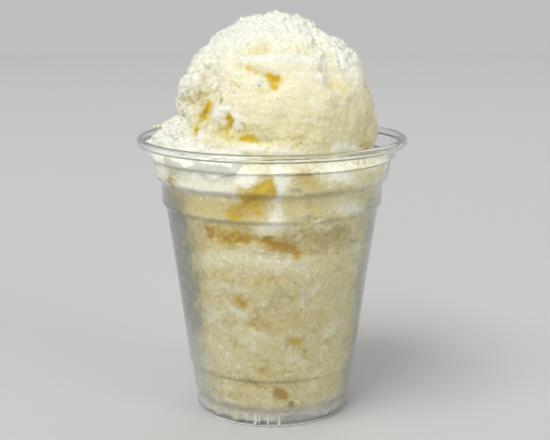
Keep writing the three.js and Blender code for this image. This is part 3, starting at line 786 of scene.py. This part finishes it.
def make_top():
    cream = ice_cream("scooped_ice_cream", SCOOPED, LEMON, bumpy=0.25, milky=0.6)
    piece = fine_copy("top_scoop", "top_ice_cream", cream)
    points, ways = read_points(piece)
    height = points[:, 2]
    right = 0.55 * facing(points, 5, 75) * ramp(height, 104, 120)
    ragged = np.clip(facing(points, 175, 110) + right + ramp(height, 124, 138), 0.22, 1)
    left = facing(points, -158, 66) * ramp(height, 99, 103) * (1 - ramp(height, 123, 133))
    crags = 0.9 * swirl(points, 5.0, 24.1) + 0.7 * swirl(points, 2.3, 29.3)
    grain = crumbs_on(points, 1.3, 22.2)
    tufts = crumbs_on(wander(points, 1.6, 0.4), 2.6, 71.0)
    clods = crumbs_on(wander(points, 1.5, 0.3), 2.9, 61.0)
    crumbs = crumbs_on(wander(points, 1.0, 0.2), 1.45, 67.0)
    drag = swirl(points * (0.12, 0.12, 1.0), 1.1, 5.5) * (1.15 - ragged)
    rise, melt, frost, shade = marked(points, TOP_MARKS)
    rough = ragged * (0.6 * crags + 1.9 * (tufts - 0.5) + 0.9 * (grain - 0.45))
    rough = rough + 0.20 * drag + 0.14 * swirl(points, 1.3, 2.0)
    rough = rough + left * (0.7 * (clods - 0.45) + 0.6 * (crumbs - 0.45))
    points = points + ways * (rough + rise)[:, None]
    height = points[:, 2]
    melt = melt * (0.9 + 0.45 * swirl(points, 1.9, 51.0))
    joints = ramp(0.42 - clods + 0.4 * (0.42 - crumbs), -0.05, 0.25)
    melt = melt + 0.14 * ramp(-crags, 0.4, 1.3) * ragged + 0.10 * left * joints + 0.04 * drag
    high = 0.25 * ramp(height, 108, 126) + 0.60 * ramp(height, 124, 141)
    frost = frost + high + 0.35 * facing(points, 178, 95) * ramp(height, 104, 118)
    frost = frost + left * 0.35 * ramp(clods, 0.40, 0.62) * (1 - shade)
    frost = frost + 0.30 * ramp(swirl(points, 4.0, 38.0), 0.1, 0.7) + 0.3 * (tufts - 0.4) * ragged
    below = 1 - ramp(height, 118, 134)
    pores = ramp(swirl(points, 1.1, 77.0), 0.3, 0.7) * below
    tan = ramp(swirl(points, 6.0, 83.0), 0.1, 0.8) * below
    # Painted shade in the joints between the clods at the left, with pores and tan patches lower down.
    shade = 0.85 * (shade + 0.28 * left * joints + 0.12 * pores + 0.14 * tan)
    write_points(piece, points, melt=melt, frost=frost - 1.3 * melt, shade=shade)
    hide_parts("top_scoop")
    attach(piece, "root")
    return piece


TOP = make_top()


# ---------------------------------------------------------------- the side chunk
# Crumbled ice cream squeezed out between the tall scoop and the rim at the left, loose and white.
# It leans on the wall below the rim, and its front end is lower than the rest.

CRUMBLED = (0.88, 0.86, 0.70, 1)


def make_chunk():
    cream = ice_cream("crumbled_ice_cream", CRUMBLED, bumpy=0.25, milky=0.6)
    piece = fine_copy("side_chunk", "side_ice_cream", cream, soften=6)
    points, ways = read_points(piece)
    crags = 1.0 * swirl(points, 3.6, 44.1) + 0.8 * swirl(points, 1.8, 49.3)
    grain = crumbs_on(points, 1.3, 42.2)
    tufts = crumbs_on(wander(points, 1.6, 0.4), 2.6, 47.0)
    rough = (0.8 * crags + 1.9 * (tufts - 0.5) + 1.2 * (grain - 0.45)) * ramp(points[:, 2], 97, 100)
    points = points + ways * (rough + 0.9 * ramp(-ways[:, 2], 0.2, 0.6))[:, None]
    turn = np.degrees(np.arctan2(points[:, 1], points[:, 0]))
    front_end = ramp(turn, -158, -128) * (turn < 0)
    points[:, 2] -= 0.45 * np.maximum(0, points[:, 2] - 98.5) * front_end
    radius = np.hypot(points[:, 0], points[:, 1])
    inner = ramp(-np.sum(ways * points * (1, 1, 0), axis=1) / radius, 0.1, 0.6)
    points = points + ways * (0.9 * inner)[:, None]
    points, touching = against_wall(points, np.zeros(len(points)), 3.2)
    melt = 0.35 * ramp(-crags, 0.6, 1.5)
    write_points(piece, points, melt=melt, frost=0.95 - 1.5 * melt, shade=0.0 * melt)
    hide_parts("side_chunk")
    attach(piece, "root")
    return piece


CHUNK = make_chunk()


# ---------------------------------------------------------------- frost
# Small shards of ice that have grown on the ragged top, the left side and the side chunk. They are
# frozen on by their foot and stand like a fuzz.

SHARDS_ON_TOP = 24000
SHARDS_ON_CHUNK = 5000
SHARD_LENGTH = (0.12, 1.05)          # above the surface, least and greatest
SHARD_WIDTH = (0.04, 0.12)           # from its middle to each corner
FROST_COLOURS = (0.56, 0.57, 0.52, 1), (0.64, 0.65, 0.61, 1)
FROST_COVER = 0.6                    # the rest of a shard is clear
FROST_SOFT = 1.6                     # share of the light that falls as on the ice cream below


def face_places(piece, name):
    """Middle, outward direction, area and mark of each face of a piece, in millimetres."""
    mesh = piece.data
    count = len(mesh.polygons)
    middle, way = np.empty((2, count * 3), np.float32)
    area = np.empty(count, np.float32)
    starts = np.empty(count, np.int32)
    corners = np.empty(len(mesh.loops), np.int32)
    values = np.empty(len(mesh.vertices), np.float32)
    mesh.polygons.foreach_get("center", middle)
    mesh.polygons.foreach_get("normal", way)
    mesh.polygons.foreach_get("area", area)
    mesh.polygons.foreach_get("loop_start", starts)
    mesh.loops.foreach_get("vertex_index", corners)
    mesh.attributes[name].data.foreach_get("value", values)
    return middle.reshape(-1, 3) / MM, way.reshape(-1, 3), area, values[corners[starts]]


def picked_faces(rng, piece, count, chance):
    """Numbers, middles, outward directions and frost of faces picked where the chance is high."""
    middle, way, area, frost = face_places(piece, "frost")
    weight = area * chance(middle, way, frost)
    picked = rng.choice(len(area), count, p=weight / weight.sum())
    return picked, middle[picked], way[picked], frost[picked]


def shards_on(piece, count, chance, seed):
    """Points and faces of small eight-sided shards on a piece, thickest where the chance is high."""
    rng = np.random.default_rng(seed)
    middle, way = picked_faces(rng, piece, count, chance)[1:3]
    foot = middle + rng.normal(0, 0.15, (count, 3))
    lean = way + rng.normal(0, 0.55, (count, 3))
    lean /= np.linalg.norm(lean, axis=1, keepdims=True)
    side = np.cross(lean, rng.normal(0, 1, (count, 3)))
    side /= np.linalg.norm(side, axis=1, keepdims=True)
    other = np.cross(lean, side)
    tall = SHARD_LENGTH[0] + (SHARD_LENGTH[1] - SHARD_LENGTH[0]) * rng.random(count) ** 1.9
    wide = rng.uniform(*SHARD_WIDTH, (count, 4))
    level = rng.uniform(0.1, 0.5, count) * tall
    ring = foot + lean * level[:, None]
    points = np.stack((
        foot - lean * 0.3,
        ring + side * wide[:, :1],
        ring + other * wide[:, 1:2],
        ring - side * wide[:, 2:3],
        ring - other * wide[:, 3:4],
        foot + lean * tall[:, None] + rng.normal(0, 0.06, (count, 3)),
    ), 1)
    sides = [(0, 2, 1), (0, 3, 2), (0, 4, 3), (0, 1, 4), (5, 1, 2), (5, 2, 3), (5, 3, 4), (5, 4, 1)]
    faces = np.arange(count)[:, None, None] * 6 + np.array(sides)
    return points.reshape(-1, 3), faces.reshape(-1, 3), np.repeat(way, 6, axis=0)


def frost_ice():
    """Ice crystals that let some light through. They are lit much like the ice cream that they stand
    on, whose outward direction is kept in the mark 'way'."""
    material, tree, shader = new_material("frost")
    place = add_node(tree, "TexCoord").outputs["Object"]
    noise = add_node(tree, "TexNoise", Vector=place, Scale=700.0, Detail=2.0).outputs["Fac"]
    tint = blend(tree, noise, *FROST_COLOURS)
    both = add_node(tree, "VectorMath", operation="MULTIPLY_ADD")
    way = add_node(tree, "Attribute", attribute_name="way").outputs["Vector"]
    tree.links.new(way, both.inputs[0])
    both.inputs[1].default_value = (FROST_SOFT, FROST_SOFT, FROST_SOFT)
    tree.links.new(add_node(tree, "NewGeometry").outputs["Normal"], both.inputs[2])
    unit = add_node(tree, "VectorMath", operation="NORMALIZE")
    tree.links.new(both.outputs["Vector"], unit.inputs[0])
    inwards = add_node(tree, "VectorMath", operation="SCALE", Scale=-1.0)
    tree.links.new(unit.outputs["Vector"], inwards.inputs[0])
    set_node(tree, shader, Base_Color=tint, Normal=unit.outputs["Vector"],
             Roughness=0.5, Specular_IOR_Level=0.25)
    glow = add_node(tree, "BsdfTranslucent", Color=tint, Normal=inwards.outputs["Vector"])
    lit = add_node(tree, "AddShader")
    tree.links.new(shader.outputs["BSDF"], lit.inputs[0])
    tree.links.new(glow.outputs["BSDF"], lit.inputs[1])
    ice = add_node(tree, "MixShader", Fac=FROST_COVER)
    tree.links.new(add_node(tree, "BsdfTransparent").outputs["BSDF"], ice.inputs[1])
    tree.links.new(lit.outputs["Shader"], ice.inputs[2])
    shine_through(tree, ice.outputs["Shader"], (0.92, 0.92, 0.92, 1))
    return material


def top_chance(middle, way, frost):
    high = ramp(middle[:, 2], 122, 138)
    left = facing(middle, 170, 85) * ramp(middle[:, 2], 101, 108)
    right = facing(middle, 0, 60) * ramp(middle[:, 2], 112, 124)
    return 0.01 + (frost * (high + 0.55 * left) + 0.2 * right) * (0.4 + 0.6 * ramp(way[:, 2], -0.2, 0.5))


def chunk_chance(middle, way, frost):
    return 0.02 + ramp(middle[:, 2], 98, 103) * ramp(way[:, 2], -0.3, 0.4)


def make_frost():
    ice = frost_ice()
    for name, piece, count, chance in (
        ("top_frost", TOP, SHARDS_ON_TOP, top_chance),
        ("side_frost", CHUNK, SHARDS_ON_CHUNK, chunk_chance),
    ):
        points, faces, ways = shards_on(piece, count, chance, seed=count)
        frost = new_piece(name, points, faces.tolist(), ice)
        kept = frost.data.attributes.new("way", "FLOAT_VECTOR", "POINT")
        kept.data.foreach_set("vector", ways.astype(np.float32).ravel())
        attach(frost, "root")


make_frost()


# ---------------------------------------------------------------- crumbs and specks
# Loose crumbs of ice cream that stick to the torn left side, to the right side, along the rim and to
# the side chunk, with three bigger ones behind the rim at the left, and some small dark specks that
# are mixed into the ice cream.

CRUMBS = 1300            # on the tall scoop; a third as many lie on the side chunk
CRUMB_CREAM = ice_cream("loose_ice_cream", CRUMBLED, milky=0.0)
SPECK_BROWNS = (0.035, 0.022, 0.010, 1), (0.16, 0.10, 0.04, 1)
LOOSE_CRUMBS = (         # place and radius
    ((-43.2, 17.0, 102.6), 1.25),
    ((-41.9, 17.6, 102.5), 0.95),
    ((-44.4, 15.6, 102.5), 0.8),
    ((31.0, -9.5, 126.2), 0.7),
    ((33.5, -9.0, 120.7), 0.6),
    ((35.3, -5.5, 118.0), 0.7),
    ((37.4, -7.0, 104.5), 0.6),
)
SPECKS = (
    (9.9, -37.1, 104.0), (31.7, -18.8, 112.1), (1.6, -35.5, 119.4), (-2.9, -33.3, 123.6),
    (10.4, -33.6, 45.7), (-2.5, -30.4, 15.6), (13.1, -37.2, 75.0), (10.1, -38.1, 74.2),
    (8.0, -34.6, 56.0), (24.0, 25.0, 60.0), (-20.0, 27.0, 30.0), (-12.0, 33.0, 120.0),
)


def rounded_grains(places, ways, sizes, flat, seed):
    """Points and faces of small uneven grains, each one flattened along its own way."""
    rng = np.random.default_rng(seed)
    gold = (1 + math.sqrt(5)) / 2
    ball = np.array([
        (0, 1, gold), (0, -1, gold), (0, 1, -gold), (0, -1, -gold), (1, gold, 0), (-1, gold, 0),
        (1, -gold, 0), (-1, -gold, 0), (gold, 0, 1), (-gold, 0, 1), (gold, 0, -1), (-gold, 0, -1),
    ]) / math.sqrt(1 + gold ** 2)
    sides = [c for c in itertools.combinations(range(12), 3)
             if all(np.linalg.norm(ball[a] - ball[b]) < 1.1 for a, b in itertools.combinations(c, 2))]
    sides = [c if np.dot(np.cross(ball[c[1]] - ball[c[0]], ball[c[2]] - ball[c[0]]), ball[c[0]]) > 0
             else c[::-1] for c in sides]
    count = len(places)
    side = np.cross(ways, rng.normal(0, 1, (count, 3)))
    side /= np.linalg.norm(side, axis=1, keepdims=True)
    other = np.cross(ways, side)
    shape = ball[None] * rng.uniform(0.7, 1.25, (count, 12, 1)) * sizes[:, None, None]
    points = (places[:, None] + shape[..., :1] * side[:, None] + shape[..., 1:2] * other[:, None]
              + shape[..., 2:] * ways[:, None] * flat)
    faces = np.arange(count)[:, None, None] * 12 + np.array(sides)
    return points.reshape(-1, 3), faces.reshape(-1, 3)


def crumb_chance(middle, way, frost):
    height = middle[:, 2]
    left = facing(middle, -145, 60) * ramp(height, 99, 103) * (1 - ramp(height, 121, 127))
    low = ramp(height, 98, 100) * (1 - ramp(height, 103, 106))
    edge = facing(middle, 178, 80) * ramp(height, 104, 112)
    edge = edge + 0.4 * facing(middle, 0, 60) * ramp(height, 108, 120)
    return (left + 0.8 * edge + 0.25 * ramp(height, 124, 138)) * (0.2 + frost) + 0.12 * low


def make_crumbs():
    rng = np.random.default_rng(91)
    loose = np.array([place for place, radius in LOOSE_CRUMBS])
    groups = []
    for piece, count, chance in ((TOP, CRUMBS, crumb_chance), (CHUNK, CRUMBS // 3, chunk_chance)):
        picked, middle, way, frost = picked_faces(rng, piece, count, chance)
        sizes = 0.3 + 0.5 * rng.random(count) ** 3
        # The crumbs take the painted shade of the surface under them.
        shade = face_places(piece, "shade")[3][picked]
        groups.append((middle - way * 0.1, way, sizes, frost + 0.1, shade))
    groups.append((
        loose,
        np.tile((0.0, 0.0, 1.0), (len(loose), 1)),
        np.array([radius for place, radius in LOOSE_CRUMBS]),
        np.full(len(loose), 0.6),
        np.zeros(len(loose)),
    ))
    places, ways, sizes, frost, shade = (np.concatenate(part) for part in zip(*groups))
    points, faces = rounded_grains(places, ways, sizes, 0.8, 92)
    points = points + 0.22 * np.stack([swirl(points, 0.7, k) for k in (2.2, 4.4, 8.8)], 1)
    crumbs = new_piece("crumbs", points, faces.tolist(), CRUMB_CREAM)
    mark_points(crumbs, frost=np.repeat(frost, 12), shade=np.repeat(shade, 12))
    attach(crumbs, "root")


def onto_surface(places):
    """The places moved to the nearest point of the ice cream's surface, with its outward direction."""
    hits = []
    for place in places:
        aim = Vector(place) * MM
        found = [piece.closest_point_on_mesh(aim) for piece in (TOP, MIDDLE, LOWER)]
        hits.append(min(found, key=lambda hit: (hit[1] - aim).length))
    return np.array([hit[1] for hit in hits]) / MM, np.array([hit[2] for hit in hits])


def make_specks():
    places, ways = onto_surface(SPECKS)
    sizes = np.random.default_rng(95).uniform(0.2, 0.36, len(places))
    points, faces = rounded_grains(places, ways, sizes, 0.6, 96)
    brown, tree, shader = new_material("dark_speck")
    noise = add_node(tree, "TexNoise", Scale=2500.0, Detail=2.0).outputs["Fac"]
    tint = add_node(tree, "ValToRGB", Fac=noise)
    for step, colour in zip(tint.color_ramp.elements, SPECK_BROWNS):
        step.color = colour
    set_node(tree, shader, Base_Color=tint.outputs["Color"], Roughness=0.6)
    specks = new_piece("dark_specks", points, faces.tolist(), brown)
    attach(specks, "root")


make_crumbs()
make_specks()


# ---------------------------------------------------------------- mist on the wall
# A thin film of mist, melt and specks of frost that has formed on the cold wall, where air lies behind
# it: towards the sides, at the back and in the foot. It turns paler towards the foot. Its grey is partly
# painted shade, darker than a lit film, in place of the shade and the dark reflections on the wall, and
# in the foot it is painted shade over the white ice cream.

MIST_LOW, MIST_HIGH = 2.2, 89.0
MIST_SIDES = 180
MIST_LEVELS = 90
MIST_FACES = (0.14, 0.19)    # where its two faces lie, outwards from the wall's inner face
# Greys of the mist, partly painted shade.
MIST_SHADE_GREYS = (0.34, 0.35, 0.32, 1), (0.60, 0.61, 0.56, 1)
FROST_SPECK = (0.66, 0.66, 0.60, 1)


def mist_material():
    material, tree, shader = new_material("mist")
    place = add_node(tree, "TexCoord").outputs["Object"]
    streaks = add_node(tree, "Mapping", Vector=place, Scale=(480, 480, 240)).outputs["Vector"]
    noise = add_node(tree, "TexNoise", Vector=streaks, Scale=1.0, Detail=5.0, Roughness=0.7)
    specks = add_node(tree, "TexVoronoi", Vector=place, Scale=900.0)
    amount = add_node(tree, "Math", operation="MULTIPLY")
    tree.links.new(rescale(tree, noise.outputs["Fac"], (0.3, 0.7), (0.35, 0.80)), amount.inputs[0])
    tree.links.new(mark(tree, "mist"), amount.inputs[1])
    tint = blend(tree, mark(tree, "pale"), *MIST_SHADE_GREYS)
    speck = rescale(tree, specks.outputs["Distance"], (0.34, 0.16))
    set_node(tree, shader, Base_Color=blend(tree, speck, tint, FROST_SPECK),
             Alpha=amount.outputs["Value"], Roughness=0.8)
    return material


def make_mist():
    turn, height = np.meshgrid(
        np.linspace(0, 2 * math.pi, MIST_SIDES, endpoint=False),
        np.linspace(MIST_LOW, MIST_HIGH, MIST_LEVELS),
        indexing="ij",
    )
    turn, height = turn.ravel(), height.ravel()
    points, faces = [], []
    for out in MIST_FACES:
        radius = wall_inside(height) + out
        points.append(np.stack((radius * np.cos(turn), radius * np.sin(turn), height), 1))
    points = np.concatenate(points)
    count = MIST_SIDES * MIST_LEVELS
    for i in range(MIST_SIDES):
        here, there = i * MIST_LEVELS, (i + 1) % MIST_SIDES * MIST_LEVELS
        for j in range(MIST_LEVELS - 1):
            inner = (here + j, here + j + 1, there + j + 1, there + j)
            faces.append(tuple(count + inner[k] for k in (0, 3, 2, 1)))
            faces.append(inner)
        for j, order in ((0, 1), (MIST_LEVELS - 1, -1)):
            faces.append((here + j, there + j, count + there + j, count + here + j)[::order])
    mist = new_piece("wall_mist", points, faces, mist_material())
    turn = np.degrees(np.arctan2(points[:, 1], points[:, 0]))
    apart = np.abs((turn + 90 + 180) % 360 - 180)        # degrees from the front
    apart = apart + 7 * swirl(points, 6.0, 3.3) + 6 * swirl(points, 2.0, 6.1)
    height = points[:, 2]
    left = ramp(-points[:, 0], -4, 4)
    edge = left * ramp(apart, 40, 64) + (1 - left) * 0.5 * ramp(apart, 52, 68)
    amount = edge * (1 - 0.55 * ramp(apart, 95, 120)) * (1 - ramp(height, 76, 88))
    # In the foot the mist is painted shade over the white ice cream.
    at_foot = (0.5 + 0.3 * facing(points, -36, 30)) * (0.8 + 0.5 * swirl(points, 2.4, 9.9))
    at_foot = at_foot * (1 - ramp(height + 1.5 * swirl(points, 3.0, 5.5), 5, 9))
    pale = 1 - ramp(height + 4 * swirl(points, 6.0, 8.8), 20, 44)
    mark_points(mist, mist=np.maximum(amount, at_foot), pale=np.maximum(pale, 0.8 * (1 - left)))
    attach(mist, "root")


make_mist()


# ---------------------------------------------------------------- melt in the foot
# A few thin drips of milky melt have run down inside the foot ring at the front and frozen there.
# Each one is thicker in its lower half.

DRIPS = (                # azimuth, top, bottom and half width of each drip
    (-102.4, 5.0, 1.4, 0.55),
    (-99.5, 4.4, 2.0, 0.35),
    (-93.0, 5.0, 1.7, 0.4),
    (-84.8, 5.6, 1.0, 0.38),
    (-108.0, 4.4, 2.4, 0.4),
)
DRIP_GRAINS = 14         # rounded grains that make up a drip


def make_drips():
    places, sizes = [], []
    for azimuth, top, bottom, wide in DRIPS:
        for share in np.linspace(0, 1, DRIP_GRAINS):
            height = top + (bottom - top) * share
            turn = math.radians(azimuth + 0.2 * math.sin(6 * share + azimuth))
            room = wall_inside(height) - 0.15
            places.append((room * math.cos(turn), room * math.sin(turn), height))
            sizes.append(wide * (0.75 + 0.35 * math.sin(math.pi * share) + 0.25 * share))
    places, sizes = np.array(places), np.array(sizes)
    ways = places * (1, 1, 0)
    ways /= np.linalg.norm(ways, axis=1, keepdims=True)
    points, faces = rounded_grains(places, ways, sizes, 0.5, 81)
    drips = new_piece("foot_drips", points, faces.tolist(), CRUMB_CREAM)
    # Painted shade dims the drips low in the foot.
    mark_points(drips, frost=np.full(len(points), 0.9), shade=np.full(len(points), 0.4))
    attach(drips, "root")


make_drips()
